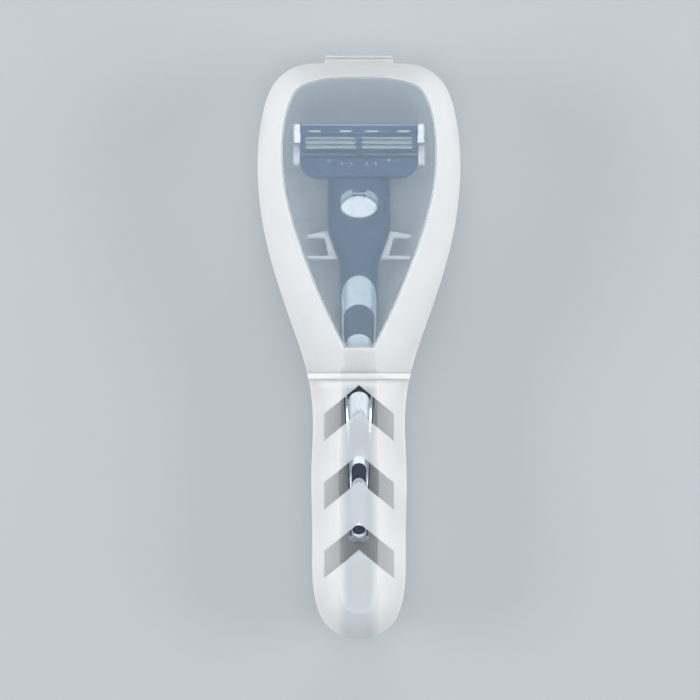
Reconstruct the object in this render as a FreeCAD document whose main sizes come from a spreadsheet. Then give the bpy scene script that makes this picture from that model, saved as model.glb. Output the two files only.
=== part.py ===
import FreeCAD, Part
import Sketcher
import math
import os
import re
from FreeCAD import Placement, Rotation, Vector

# Travel razor case with a razor lying in it. Millimetres.
# Stations run along Y from the tail end of the case to its top; X is across; Z is up from the flat back.
# Every finished piece is moved by half the overall length so that the origin is under the middle.

os.makedirs("parts", exist_ok=True)
doc = FreeCAD.newDocument("razor_case")
sheet = doc.addObject("Spreadsheet::Sheet", "Sizes")

SIZES = {
    # outline of the case: full widths, with stations from the top; the swell and the grip
    # stand at shares of the run from the tail's round end to the waist
    "case_length": 180.0,
    "tail_radius": 14.0,
    "swell_share": 0.312,
    "swell_width": 29.3,
    "grip_share": 0.734,
    "grip_width": 29.7,
    "waist_from_top": 111.5,
    "waist_width": 28.8,
    "seam_from_top": 98.8,
    "seam_width": 31.6,
    "flare_from_top": 83.0,
    "flare_width": 41.2,
    "shoulder_from_top": 58.0,
    "shoulder_width": 57.0,
    "widest_from_top": 32.5,
    "head_width": 63.4,
    "brow_from_top": 14.5,
    "brow_width": 59.4,
    "corner_from_top": 5.5,
    "corner_width": 51.4,
    "crown_from_top": 1.2,
    "crown_width": 38.8,
    "ridge_from_top": 0.2,
    "ridge_width": 20.0,
    # walls and levels of the case
    "wall": 1.2,
    "parting_height": 14.4,
    "rim_band": 1.5,
    "sleeve_depth": 24.0,
    "head_depth": 28.0,
    "grip_slope": 8.6,
    "neck_slope": 11.5,
    "head_slope": 7.6,
    "corner_slope": 7.1,
    "arch_slope": 6.7,
    "crown_slope": 5.3,
    "window_from_top": 89.2,
    "window_end_width": 9.2,
    "rim_round": 1.2,
    "back_edge": 0.8,
    # closure between the shells
    "tongue_height": 1.5,
    "tongue_wall": 0.85,
    "lid_clearance": 0.2,
    "rim_gap": 0.1,
    "seam_gap": 0.4,
    "collar_reach": 1.6,
    "collar_root": 3.0,
    "collar_wall": 0.9,
    "collar_bite": 0.12,
    "collar_gap": 0.3,
    # chevron slots of the sleeve
    "slot_from_seam": 1.9,
    "slot_pitch": 21.35,
    "slot_height": 8.4,
    "slot_width": 21.6,
    "slot_drop": 9.0,
    # folded hinge tab
    "hinge_width": 22.5,
    "hinge_taper": 0.8,
    "hinge_reach": 2.2,
    "hinge_leaf": 1.1,
    "hinge_root": 1.0,
    "film_radius": 0.5,
    "film_gap": 0.15,
    # cradle of the razor in the rear shell
    "cradle_height": 13.6,
    "cradle_arm": 1.1,
    "cradle_leg": 2.2,
    "cradle_reach": 16.2,
    "cradle_low_back": 34.4,
    "cradle_high_back": 25.6,
    "cradle_gap": 0.3,
    "rest_wall": 1.4,
    "rest_gap": 0.05,
    "tail_rest_set": 8.9,
    "tail_rest_drop": 0.75,
    "mark_radius": 1.9,
    "mark_depth": 0.3,
    "mark_from_top": 15.3,
    "mark_spread": 15.8,
    # razor: distances back from the blade unit's pivot
    "pivot_from_top": 27.0,
    "pivot_height": 15.0,
    "handle_height": 13.2,
    "tail_drop": 1.2,
    "tail_room": 29.7,
    "tail_width": 5.6,
    "tail_thick": 5.2,
    "mid_share": 0.394,
    "mid_width": 8.9,
    "mid_thick": 7.8,
    "full_back": 60.0,
    "full_width": 11.5,
    "full_thick": 9.2,
    "root_back": 39.6,
    "root_width": 12.0,
    "root_thick": 9.2,
    "neck_low_back": 34.6,
    "neck_low_width": 12.6,
    "neck_high_back": 25.6,
    "neck_high_width": 19.0,
    "neck_back": 20.0,
    "neck_front_back": 9.4,
    "neck_width": 19.6,
    "neck_thick": 9.0,
    "edge_share": 0.36,
    "tail_cap_length": 2.4,
    # neck mechanism
    "cover_back": 32.0,
    "cover_thick": 1.7,
    "fit_gap": 0.05,
    "bay_width": 11.4,
    "bay_back": 23.5,
    "bay_depth": 5.8,
    "front_wall": 1.4,
    "button_back": 18.3,
    "button_width": 11.6,
    "button_length": 7.2,
    "button_lift": 0.5,
    "button_rise": 1.9,
    "button_round": 0.8,
    "button_travel": 2.3,
    "button_clear": 0.2,
    "bezel_thick": 0.8,
    "stem_width": 4.0,
    "stem_length": 3.0,
    "stop_width": 4.2,
    "stop_length": 1.2,
    "stop_thick": 0.3,
    "bridge_length": 4.6,
    "bridge_thick": 1.5,
    "prong_width": 1.2,
    "prong_thick": 2.0,
    "prong_span": 10.8,
    "prong_drop": 0.9,
    "prong_reach": 0.8,
    "slide_gap": 0.2,
    "nose_width": 6.4,
    "nose_thick": 4.2,
    "nose_length": 5.2,
    "nose_lift": 0.07,
    "plunger_drop": 2.7,
    "plunger_radius": 1.0,
    "plunger_fit": 0.06,
    "plunger_set": 0.2,
    "flange_radius": 1.5,
    "flange_thick": 0.8,
    "spring_wire": 0.15,
    "spring_turns": 7.0,
    "plunger_coil": 0.75,
    "plunger_spring_length": 7.0,
    "button_coil": 0.5,
    # grip inlays
    "inlay_gap": 0.04,
    "spine_thick": 0.6,
    "pad_thick": 0.75,
    "spine_margin": 0.5,
    "pad_margin": 1.3,
    "pad_groove": 0.12,
    "arch_share": 0.7,
    "crest_share": 1.3,
    "pad_pitch_share": 0.2216,
    "pad_offset_share": 0.1132,
    "pad_length_share": 0.1083,
    "last_offset_share": 0.0564,
    "last_length_share": 0.0539,
    "tail_pad_set": 0.6,
    "tail_pad_margin": 0.95,
    "tail_pad_length": 2.6,
    # connector
    "connector_width": 37.0,
    "connector_front_back": 2.0,
    "connector_rear_back": 9.25,
    "connector_corner": 6.0,
    "connector_low": 4.4,
    "connector_high": 1.2,
    "connector_round": 0.9,
    "pocket_depth": 4.2,
    "arm_width": 2.0,
    "arm_back": 3.8,
    "arm_radius": 1.3,
    "pin_radius": 0.6,
    "pin_fit": 0.05,
    "pin_depth": 1.6,
    "pin_head": 0.3,
    # blade unit, measured from the pivot
    "frame_width": 36.6,
    "frame_front": 1.3,
    "frame_reach": 7.7,
    "frame_low": 1.5,
    "frame_high": 5.2,
    "frame_round": 0.5,
    "lug_width": 2.1,
    "window_half": 16.6,
    "bay_start": -0.25,
    "bay_end": 4.3,
    "rib_width": 1.9,
    "rib_gap": 0.05,
    "rib_thick": 0.45,
    "cam_width": 3.2,
    "cam_drop": 3.4,
    "cam_thick": 1.6,
    "blade_first": -0.15,
    "blade_pitch": 1.55,
    "blade_run": 1.2,
    "blade_fall": 0.5,
    "blade_thick": 0.2,
    "blade_below": 0.2,
    "blade_leg": 1.6,
    "guard_start": -1.1,
    "guard_end": -0.5,
    "guard_seat": 0.9,
    "guard_fin": 0.14,
    "fin_pitch": 0.28,
    "fin_rise": 0.55,
    "cap_start": 4.45,
    "cap_rise": 0.6,
    "strip_start": 4.6,
    "strip_end": 5.85,
    "strip_thick": 0.9,
    "cap_skin": 0.35,
    "dash_length": 4.0,
    "dash_width": 0.7,
    "dash_inner": 4.0,
    "dash_outer": 13.7,
    "clip_width": 2.2,
    "clip_start": 1.7,
    "clip_end": 7.5,
    "clip_low": 1.35,
    "clip_high": 5.6,
    "clip_round": 0.7,
}

# Places that follow from the sizes.
DERIVED = {
    "overall_length": "case_length + hinge_reach",
    "seam_at": "case_length - seam_from_top",
    "waist_at": "case_length - waist_from_top",
    "swell_at": "tail_radius + (waist_at - tail_radius) * swell_share",
    "grip_at": "tail_radius + (waist_at - tail_radius) * grip_share",
    "flare_at": "case_length - flare_from_top",
    "shoulder_at": "case_length - shoulder_from_top",
    "widest_at": "case_length - widest_from_top",
    "brow_at": "case_length - brow_from_top",
    "corner_at": "case_length - corner_from_top",
    "crown_at": "case_length - crown_from_top",
    "ridge_at": "case_length - ridge_from_top",
    "window_at": "case_length - window_from_top",
    "hinge_at": "overall_length - film_radius",
    "leaf_end": "hinge_at - film_radius - film_gap",
    "pivot_at": "case_length - pivot_from_top",
    "rim_low": "parting_height - rim_band",
    "rim_high": "parting_height + rim_band + rim_gap",
    "neck_front": "pivot_at - neck_front_back",
    "neck_top": "handle_height + neck_thick / 2",
    "neck_floor": "handle_height - neck_thick / 2",
    "cover_seat": "neck_top - cover_thick",
    "bay_front": "neck_front - front_wall",
    "button_at": "pivot_at - button_back",
    "bezel_low": "cover_seat + fit_gap",
    "bezel_high": "bezel_low + bezel_thick",
    "button_low": "bezel_high + button_lift",
    "bridge_high": "cover_seat - slide_gap / 2",
    "bridge_low": "bridge_high - bridge_thick",
    "bridge_rear": "button_at - bridge_length / 2",
    "bridge_front": "button_at + bridge_length / 2",
    "prong_high": "bridge_high - prong_drop",
    "prong_low": "prong_high - prong_thick",
    "prong_tip": "neck_front + prong_reach",
    "prong_inner": "prong_span / 2 - prong_width",
    "prong_outer": "prong_span / 2",
    "plunger_height": "pivot_height - plunger_drop",
    "plunger_centre": "pivot_at - plunger_radius - plunger_set",
    "flange_front": "bay_front - slide_gap / 2",
    "flange_rear": "flange_front - flange_thick",
    "nose_low": "plunger_height - nose_thick / 2 + nose_lift",
    "nose_high": "nose_low + nose_thick",
    "nose_tip": "neck_front + nose_length",
    "connector_front": "pivot_at - connector_front_back",
    "connector_rear": "pivot_at - connector_rear_back",
    "connector_floor": "pivot_height - connector_low",
    "connector_top": "pivot_height + connector_high",
    "connector_side": "connector_width / 2",
    "arm_rear": "pivot_at - arm_back",
    "frame_side": "frame_width / 2",
    "frame_floor": "pivot_height + frame_low",
    "frame_top": "pivot_height + frame_high",
    "cap_top": "frame_top + cap_rise",
    "cam_floor": "pivot_height - cam_drop",
    "rib_floor": "frame_top + rib_gap",
    "blade_top": "frame_top - blade_below + rib_gap",
    "guard_floor": "frame_top - guard_seat",
    "strip_top": "cap_top - cap_skin",
    "strip_floor": "strip_top - strip_thick",
    "spine_top": "pivot_at - root_back",
    "spine_length": "spine_top - tail_end",
    "pad_pitch": "spine_length * pad_pitch_share",
    "pad_offset": "spine_length * pad_offset_share",
    "pad_length": "spine_length * pad_length_share",
    "last_offset": "spine_length * last_offset_share",
    "last_length": "spine_length * last_length_share",
    "tail_end": "tail_room + tail_cap_length",
    "tail_back": "pivot_at - tail_end",
    "mid_back": "full_back + (tail_back - full_back) * mid_share",
    "tail_rest_back": "tail_back - tail_rest_set",
}

for row, (alias, value) in enumerate(SIZES.items(), 1):
    sheet.set("A%d" % row, alias)
    sheet.set("B%d" % row, repr(value))
    sheet.setAlias("B%d" % row, alias)
doc.recompute()


def ex(text):
    """Expression text with every named size pointing at its cell."""
    def swap(match):
        word = match.group(0)
        if word in SIZES:
            return "Sizes." + word
        return "(" + ex(DERIVED[word]) + ")"
    return re.sub(r"[a-z][a-z_]*", swap, str(text))


def num(text):
    return float(sheet.evalExpression(ex(text)))


def bind(obj, **expressions):
    for prop, text in expressions.items():
        obj.setExpression(prop.replace("__", "."), ex(text))
    return obj


STATIONS = {}


def place(obj, x="0", y="0", z="0"):
    STATIONS[obj.Name] = y
    return bind(obj, Placement__Base__x=x, Placement__Base__y=y, Placement__Base__z=z)


# Solids and booleans
def block(name, x, y, z):
    obj = doc.addObject("Part::Box", name)
    bind(obj, Length="(%s) - (%s)" % (x[1], x[0]), Width="(%s) - (%s)" % (y[1], y[0]),
         Height="(%s) - (%s)" % (z[1], z[0]))
    return place(obj, x[0], y[0], z[0])


def rod(name, radius, along, start, length):
    obj = doc.addObject("Part::Cylinder", name)
    turn = {"X": Rotation(Vector(0, 1, 0), 90), "Y": Rotation(Vector(1, 0, 0), -90), "Z": Rotation()}[along]
    obj.Placement = Placement(Vector(), turn)
    bind(obj, Radius=radius, Height=length)
    return place(obj, *start)


def ball(name, radius, at):
    obj = bind(doc.addObject("Part::Sphere", name), Radius=radius)
    return place(obj, *at)


def drum(name, width, length, at, low, high):
    """Upright elliptic post, wider across than along."""
    ring = doc.addObject("Part::Ellipse", name + "_ring")
    bind(ring, MajorRadius="(%s) / 2" % width, MinorRadius="(%s) / 2" % length)
    place(ring, "0", at, low)
    return lift(name, ring, low, high)


def lift(name, base, low, high):
    obj = doc.addObject("Part::Extrusion", name)
    obj.Base = base
    obj.DirMode = "Custom"
    obj.Dir = Vector(0, 0, 1)
    obj.Solid = True
    return bind(obj, LengthFwd="(%s) - (%s)" % (high, low))


def sheet_wire(name, edges, height="0"):
    obj = doc.addObject("Part::Feature", name)
    obj.Shape = Part.Wire(Part.__sortEdges__(edges))
    bind(obj, Placement__Base__z=height)
    return obj


def loft(name, sections, ruled=True):
    obj = doc.addObject("Part::Loft", name)
    obj.Sections = sections
    obj.Solid = True
    obj.Ruled = ruled
    return obj


def fuse(name, *shapes):
    obj = doc.addObject("Part::MultiFuse", name)
    obj.Shapes = list(shapes)
    return obj


def common(name, *shapes):
    obj = doc.addObject("Part::MultiCommon", name)
    obj.Shapes = list(shapes)
    return obj


def cut(name, base, *tools):
    for index, tool in enumerate(tools, 1):
        obj = doc.addObject("Part::Cut", name if index == len(tools) else "%s_step_%d" % (name, index))
        obj.Base = base
        obj.Tool = tool
        base = obj
    return base


def soften(name, base, radius, *levels):
    """Rounds the edges along the sides of a form that lie at given heights."""
    doc.recompute()
    size = num(radius)
    picked = []
    for index, edge in enumerate(base.Shape.Edges, 1):
        heights = [vertex.Z for vertex in edge.Vertexes]
        for level in levels:
            apart = max(abs(height - num(level)) for height in heights)
            if apart < 0.001 and abs(edge.CenterOfMass.x) > size:
                picked.append((index, size, size))
    obj = doc.addObject("Part::Fillet", name)
    obj.Base = base
    obj.Edges = picked
    return obj


PIECES = []


def piece(obj, label):
    """Marks a finished sub-part and moves it from station zero to the shared origin."""
    obj.Label = label
    bind(obj, Placement__Base__y="(%s) - (overall_length) / 2" % STATIONS.get(obj.Name, "0"))
    PIECES.append(obj)
    return obj


def polygon(points):
    corners = [Vector(x, y, 0) for x, y in points]
    return [Part.makeLine(a, b) for a, b in zip(corners, corners[1:] + corners[:1])]


# Half outlines of the case: right-hand curves from the tail to the top
class Half:
    def __init__(self, points, knots):
        """A smooth curve through the points; where it meets the middle it runs on into its mirror image."""
        self.points = points
        self.knots = knots
        run, marks = list(points), list(knots)
        if abs(points[0].x) < 0.001:
            run = [Vector(-p.x, p.y, 0) for p in points[2:0:-1]] + run
            marks = [2 * knots[0] - k for k in knots[2:0:-1]] + marks
        if abs(points[-1].x) < 0.001:
            run = run + [Vector(-p.x, p.y, 0) for p in points[-2:-4:-1]]
            marks = marks + [2 * knots[-1] - k for k in knots[-2:-4:-1]]
        self.curve = Part.BSplineCurve()
        self.curve.interpolate(Points=run, Parameters=marks)

    def at(self, station):
        """Parameter where the curve passes a station."""
        low, high = self.knots[0], self.knots[-1]
        for step in range(60):
            middle = (low + high) / 2
            if self.curve.value(middle).y < station:
                low = middle
            else:
                high = middle
        return low

    def inset(self, widths):
        """The curve moved inwards along its normal, by a width for each of its points."""
        moved = []
        for point, knot, width in zip(self.points, self.knots, widths):
            along = self.curve.tangent(knot)[0]
            moved.append(point + Vector(-along.y, along.x, 0) * width)
        for end in (0, -1):
            if abs(self.points[end].x) < 0.001:
                moved[end].x = 0.0
        return Half(moved, self.knots)

    def edges(self, low=None, high=None):
        """Edges of the closed outline between two stations, cut straight across where it is cut."""
        first = self.knots[0] if low is None else self.at(low)
        last = self.knots[-1] if high is None else self.at(high)
        right = self.curve.copy()
        right.segment(first, last)
        right = right.toShape()
        left = right.mirror(Vector(), Vector(1, 0, 0))
        edges = [right, left]
        for knot in (first, last):
            end = self.curve.value(knot)
            if abs(end.x) > 0.01:
                edges.append(Part.makeLine(Vector(-end.x, end.y, 0), end))
        return edges


def outline_knots(points):
    runs = [0.0]
    for a, b in zip(points, points[1:]):
        runs.append(runs[-1] + a.distanceToPoint(b))
    return runs


tail_radius = num("tail_radius")
tail_lean = tail_radius * math.cos(math.pi / 4)
stations = [(0.0, 0.0), (tail_lean, tail_radius - tail_lean), (tail_radius, tail_radius)]
for half_width, station in (("swell_width", "swell_at"), ("grip_width", "grip_at"),
                            ("waist_width", "waist_at"),
                            ("seam_width", "seam_at"), ("flare_width", "flare_at"),
                            ("shoulder_width", "shoulder_at"), ("head_width", "widest_at"),
                            ("brow_width", "brow_at"), ("corner_width", "corner_at"),
                            ("crown_width", "crown_at"), ("ridge_width", "ridge_at")):
    if station == "seam_at":
        SEAM = len(stations)
    stations.append((num(half_width) / 2, num(station)))
stations.append((0.0, num("case_length")))
outer_points = [Vector(x, y, 0) for x, y in stations]
outer = Half(outer_points, outline_knots(outer_points))

grip_slope, neck_slope = num("grip_slope"), num("neck_slope")
head_slope, corner_slope, crown_slope = num("head_slope"), num("corner_slope"), num("crown_slope")


def slope_width(station):
    """Width of the sloped side between the rim and the flat, at a station of the rim."""
    steps = [(0.0, grip_slope), (num("waist_at"), grip_slope), (num("flare_at"), neck_slope),
             (num("widest_at"), head_slope), (num("brow_at"), corner_slope),
             (num("corner_at"), corner_slope), (num("crown_at"), num("arch_slope")),
             (num("case_length"), crown_slope)]
    for (a, wide), (b, narrow) in zip(steps, steps[1:]):
        if station <= b:
            return wide + (narrow - wide) * (station - a) / (b - a)
    return crown_slope


slopes = [slope_width(point.y) for point in outer_points]
wall = num("wall")
flat = outer.inset(slopes)


def rim(extra):
    """The rim outline, a given width inside the outer face."""
    return outer.inset([extra] * len(outer_points)) if extra else outer


def flat_inside(extra):
    return outer.inset([slope + extra for slope in slopes])


# Rear shell
tongue_out = wall + num("lid_clearance")
tongue_in = tongue_out + num("tongue_wall")
back_edge = num("back_edge")
heel_share = 1 - back_edge / num("rim_low")
heel = outer.inset([slope * heel_share for slope in slopes])
shell_form = loft("rear_form", [
    sheet_wire("rear_back", flat_inside(back_edge).edges(), "0"),
    sheet_wire("rear_heel", heel.edges(), "back_edge"),
    sheet_wire("rear_rim_low", outer.edges(), "rim_low"),
    sheet_wire("rear_rim_high", outer.edges(), "parting_height")])
tongue_form = loft("rear_tongue", [
    sheet_wire("tongue_foot", rim(tongue_out).edges(), "rim_low"),
    sheet_wire("tongue_head", rim(tongue_out).edges(), "parting_height + tongue_height")])
shell_bay = loft("rear_bay", [
    sheet_wire("bay_floor", flat_inside(wall / 2).edges(), "wall"),
    sheet_wire("bay_side", rim(wall).edges(), "rim_low - tongue_wall"),
    sheet_wire("bay_lip", rim(tongue_in).edges(), "parting_height - wall / 2"),
    sheet_wire("bay_mouth", rim(tongue_in).edges(), "parting_height + 2 * tongue_height")])
shell = cut("rear_hollow", fuse("rear_solid", shell_form, tongue_form), shell_bay)


def hinge_edges():
    wide = num("hinge_width / 2")
    narrow = wide - num("hinge_taper")
    root = num("case_length - hinge_root")
    return polygon([(-wide, root), (wide, root), (narrow, num("leaf_end")), (-narrow, num("leaf_end"))])


rear_leaf = lift("rear_leaf", sheet_wire("rear_leaf_plan", hinge_edges(), "parting_height - hinge_leaf"),
                 "parting_height - hinge_leaf", "parting_height")

# Two brackets that hug the razor's neck, each an arm, a slanted leg and an arm
cradle_gap = num("cradle_gap")
low_at, high_at = num("pivot_at - cradle_low_back"), num("pivot_at - cradle_high_back")
low_in = num("neck_low_width / 2") + cradle_gap
high_in = num("neck_high_width / 2") + cradle_gap
arm, leg, reach = num("cradle_arm"), num("cradle_leg"), num("cradle_reach")
bracket = [(reach, low_at), (low_in, low_at), (high_in, high_at), (reach, high_at - arm),
           (reach, high_at - 2 * arm), (high_in + leg - arm, high_at - 2 * arm),
           (low_in + leg + arm / 2, low_at + arm), (reach, low_at + arm)]
brackets = []
for side, hand in (("left", -1), ("right", 1)):
    plan = sheet_wire("cradle_plan_" + side, polygon([(hand * x, y) for x, y in bracket]), "wall / 2")
    brackets.append(lift("cradle_" + side, plan, "wall / 2", "cradle_height"))

saddle = block("saddle", ("-(neck_low_width) / 2 - cradle_leg", "neck_low_width / 2 + cradle_leg"),
               ("pivot_at - cradle_low_back", "pivot_at - cradle_low_back + rest_wall"),
               ("wall / 2", "neck_floor - rest_gap"))
tail_rest = block("tail_rest", ("-(tail_width)", "tail_width"),
                  ("pivot_at - tail_rest_back", "pivot_at - tail_rest_back + rest_wall"),
                  ("wall / 2", "handle_height - tail_drop - tail_thick / 2 - tail_rest_drop"))
marks = [rod("mark_" + side, "mark_radius", "Z",
             (hand + "mark_spread", "case_length - mark_from_top", "wall - mark_depth"), "wall")
         for side, hand in (("left", "-"), ("right", ""))]
rear_shell = cut("rear_marked", fuse("rear_joined", shell, rear_leaf, saddle, tail_rest, *brackets), *marks)
piece(rear_shell, "rear_shell")

# Sleeve cover
seam_at, seam_gap = num("seam_at"), num("seam_gap")
sleeve_end = seam_at - seam_gap / 2


def sleeve_form(name, extra, end):
    """Front half of the grip, a given width inside the outer face."""
    top = flat_inside(extra / 2) if extra else flat
    return loft(name, [
        sheet_wire(name + "_foot", rim(extra).edges(high=end), "parting_height - %.3f" % extra),
        sheet_wire(name + "_rim", rim(extra).edges(high=end), "rim_high"),
        sheet_wire(name + "_flat", top.edges(high=end), "sleeve_depth - %.3f" % extra)])


def chevron(index):
    apex = num("seam_at - slot_from_seam") - index * num("slot_pitch")
    side, drop, tall = num("slot_width / 2"), num("slot_drop"), num("slot_height")
    plan = [(0, apex), (side, apex - drop), (side, apex - drop - tall), (0, apex - tall),
            (-side, apex - drop - tall), (-side, apex - drop)]
    name = "slot_%d" % (index + 1)
    wire = sheet_wire(name + "_plan", polygon(plan), "rim_high + wall")
    return lift(name, wire, "rim_high + wall", "head_depth")


SIDES = ("-(head_width)", "head_width")
collar_gap, collar_wall, collar_bite = num("collar_gap"), num("collar_wall"), num("collar_bite")
collar_end = seam_at + num("collar_reach")
collar_band = block("collar_band", SIDES, ("seam_at - collar_root", "seam_at + collar_reach"),
                    ("rim_high + wall", "head_depth"))
root_band = block("root_band", SIDES, ("seam_at - collar_root", "seam_at - seam_gap"),
                  ("rim_high + wall", "head_depth"))
collar_tip = common("collar_tip", sleeve_form("collar_out", wall + collar_gap, collar_end), collar_band)
collar_foot = common("collar_foot", sleeve_form("collar_seat", wall - collar_bite, collar_end), root_band)
collar = cut("collar", fuse("collar_solid", collar_tip, collar_foot),
             sleeve_form("collar_in", wall + collar_gap + collar_wall, collar_end + wall))
sleeve_out = sleeve_form("sleeve_out", 0, sleeve_end)
sleeve_soft = soften("sleeve_soft", sleeve_out, "rim_round", "rim_high", "sleeve_depth")
sleeve_shell = cut("sleeve_shell", sleeve_soft, sleeve_form("sleeve_in", wall, seam_at + wall))
slot_room = num("seam_at - slot_from_seam - slot_drop - slot_height - tail_radius")
slot_count = 1 + int(slot_room / num("slot_pitch"))
slots = [chevron(index) for index in range(slot_count)]
sleeve_cover = cut("sleeve_slotted", fuse("sleeve_joined", sleeve_shell, collar), *slots)
piece(sleeve_cover, "sleeve_cover")

# Lid: rim, shoulder level with the sleeve, flat window
lid_start = seam_at + seam_gap / 2
window_end = Vector(num("window_end_width / 2"), num("window_at"), 0)
lid_knots = outer.knots[SEAM:]
strip_edge = flat.curve.value(flat.at(seam_at)).x
shoulder_share = (num("sleeve_depth") - num("rim_high")) / (num("head_depth") - num("rim_high"))


def lid_form(name, extra, start, foot):
    """Front half of the head, a given width inside the outer face."""
    inside = outer.inset([extra] * len(outer_points)) if extra else outer
    top = outer.inset([slope + extra / 2 for slope in slopes])
    rim_points = inside.points[SEAM:]
    window = [window_end + Vector(-extra / 3, extra / 3, 0)] + top.points[SEAM + 1:]
    shoulder = [Vector(strip_edge - extra / 2, start, 0)]
    for low, high in zip(rim_points[1:], window[1:]):
        shoulder.append(low + (high - low) * shoulder_share)
    window_half = Half(window, lid_knots)
    shoulder_half = Half(shoulder, lid_knots)
    return loft(name, [
        sheet_wire(name + "_foot", inside.edges(low=start), foot),
        sheet_wire(name + "_rim", inside.edges(low=start), "rim_high"),
        sheet_wire(name + "_shoulder", shoulder_half.edges(), "sleeve_depth - %.3f" % extra),
        sheet_wire(name + "_window", window_half.edges(), "head_depth - %.3f" % extra)])


lid_leaf = lift("lid_leaf", sheet_wire("lid_leaf_plan", hinge_edges(), "parting_height + rim_gap"),
                "parting_height + rim_gap", "parting_height + rim_gap + hinge_leaf")
lid_out = lid_form("lid_out", 0, lid_start, "parting_height + rim_gap")
lid_soft = soften("lid_soft", lid_out, "rim_round", "rim_high")
lid_shell = cut("lid_shell", lid_soft, lid_form("lid_in", wall, lid_start - wall, "parting_height - wall"))
leaf_clear = rim(tongue_out - num("lid_clearance"))
leaf_bay = loft("lid_leaf_bay", [
    sheet_wire("lid_leaf_bay_low", leaf_clear.edges(), "rim_low"),
    sheet_wire("lid_leaf_bay_high", leaf_clear.edges(), "rim_high + wall")])
piece(fuse("lid_joined", lid_shell, cut("lid_leaf_cut", lid_leaf, leaf_bay)), "lid")

film_half = "(hinge_width / 2 - hinge_taper)"
piece(rod("film", "film_radius", "X", ("-" + film_half, "hinge_at", "parting_height + rim_gap / 2"),
          "2 * " + film_half), "hinge_film")


# Razor handle: rounded sections along Y
def section(name, back, width, thick, height, extra=0.0):
    half_x, half_z = num(width) / 2 + extra, num(thick) / 2 + extra
    radius = min(half_x, half_z) * 2 * num("edge_share")
    y = num("pivot_at - (%s)" % back)
    z = num(height)
    corners = []
    for hand_x, hand_z in ((1, 1), (-1, 1), (-1, -1), (1, -1)):
        corners.append((hand_x * (half_x - radius), hand_z * (half_z - radius), hand_x, hand_z))
    edges = []
    ends = []
    diagonal = radius * math.sqrt(0.5)
    for cx, cz, hx, hz in corners:
        flat_end = Vector(cx, y, z + cz + hz * radius)
        side_end = Vector(cx + hx * radius, y, z + cz)
        middle = Vector(cx + hx * diagonal, y, z + cz + hz * diagonal)
        first, last = (side_end, flat_end) if hx * hz > 0 else (flat_end, side_end)
        edges.append(Part.Arc(first, middle, last).toShape())
        ends.append((first, last))
    joined = []
    for index, edge in enumerate(edges):
        joined.append(edge)
        joined.append(Part.makeLine(ends[index][1], ends[(index + 1) % 4][0]))
    obj = doc.addObject("Part::Feature", name)
    obj.Shape = Part.Wire(joined)
    return obj


ROD = (("tail_back", "tail_width", "tail_thick", "handle_height - tail_drop"),
       ("mid_back", "mid_width", "mid_thick", "handle_height"),
       ("full_back", "full_width", "full_thick", "handle_height"),
       ("root_back", "root_width", "root_thick", "handle_height"))
NECK = (("root_back", "root_width", "root_thick", "handle_height"),
        ("neck_low_back", "neck_low_width", "neck_thick", "handle_height"),
        ("neck_high_back", "neck_high_width", "neck_thick", "handle_height"),
        ("neck_back", "neck_width", "neck_thick", "handle_height"))
NECK_FRONT = (("neck_back", "neck_width", "neck_thick", "handle_height"),
              ("neck_front_back", "neck_width", "neck_thick", "handle_height"))


def handle_form(name, table, extra=0.0):
    wires = [section("%s_%d" % (name, i), *row, extra=extra) for i, row in enumerate(table)]
    return loft(name, wires, ruled=False)


def neck_shape(name):
    """The neck: swelling from the rod, then straight to its front."""
    return fuse(name, handle_form(name + "_rear", NECK), handle_form(name + "_front", NECK_FRONT))


neck_form = neck_shape("neck_form")
cover_zone = block("cover_zone", SIDES, ("pivot_at - cover_back", "pivot_at"), ("cover_seat", "head_depth"))
bay = block("mechanism_bay", ("-(bay_width) / 2", "bay_width / 2"), ("pivot_at - bay_back", "bay_front"),
            ("cover_seat - bay_depth", "head_depth"))
nose = block("nose", ("-(nose_width) / 2", "nose_width / 2"), ("neck_front - front_wall / 2", "nose_tip"),
             ("nose_low", "nose_high"))
plunger_bore = rod("plunger_bore", "plunger_radius + plunger_fit", "Y",
                   ("0", "bay_front - front_wall", "plunger_height"), "nose_length + 3 * front_wall")
prong_holes = [block("prong_hole_" + side, (a, b), ("bay_front - front_wall", "neck_front + front_wall"),
                     ("prong_low - slide_gap", "prong_high + slide_gap"))
               for side, a, b in (("left", "-(prong_outer) - slide_gap", "-(prong_inner) + slide_gap"),
                                  ("right", "prong_inner - slide_gap", "prong_outer + slide_gap"))]
core_neck = fuse("core_neck", cut("core_block", neck_form, cover_zone, bay), nose)
rod_form = handle_form("rod_form", ROD)
core_whole = fuse("core_joined", rod_form, core_neck)
core = cut("core_drilled", core_whole, plunger_bore, *prong_holes)
piece(core, "handle_core")

# Neck cover, bezel and button; the opening is the button's outline drawn out along its travel
def button_track(name, clear, low, high):
    width, length = "button_width + 2 * (%s)" % clear, "button_length + 2 * (%s)" % clear
    rear = drum(name + "_rear", width, length, "button_at", low, high)
    front = drum(name + "_front", width, length, "button_at + button_travel", low, high)
    middle = block(name + "_middle", ("-(%s) / 2" % width, "(%s) / 2" % width),
                   ("button_at", "button_at + button_travel"), (low, high))
    return fuse(name, rear, middle, front)


cover_bed = block("cover_bed", SIDES, ("pivot_at - cover_back + fit_gap", "pivot_at"),
                  ("bezel_low", "head_depth"))
stop = block("stop", ("-(stop_width) / 2", "stop_width / 2"),
             ("button_at + button_travel + button_length / 2 - stop_length",
              "button_at + button_travel + button_length / 2 + stop_length"),
             ("bezel_high + fit_gap", "bezel_high + fit_gap + stop_thick"))
cover = fuse("cover_joined",
             cut("cover_open", common("cover_solid", neck_shape("cover_form"), cover_bed),
                 button_track("cover_opening", "button_clear", "neck_floor", "head_depth")), stop)
piece(cover, "neck_cover")

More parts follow.
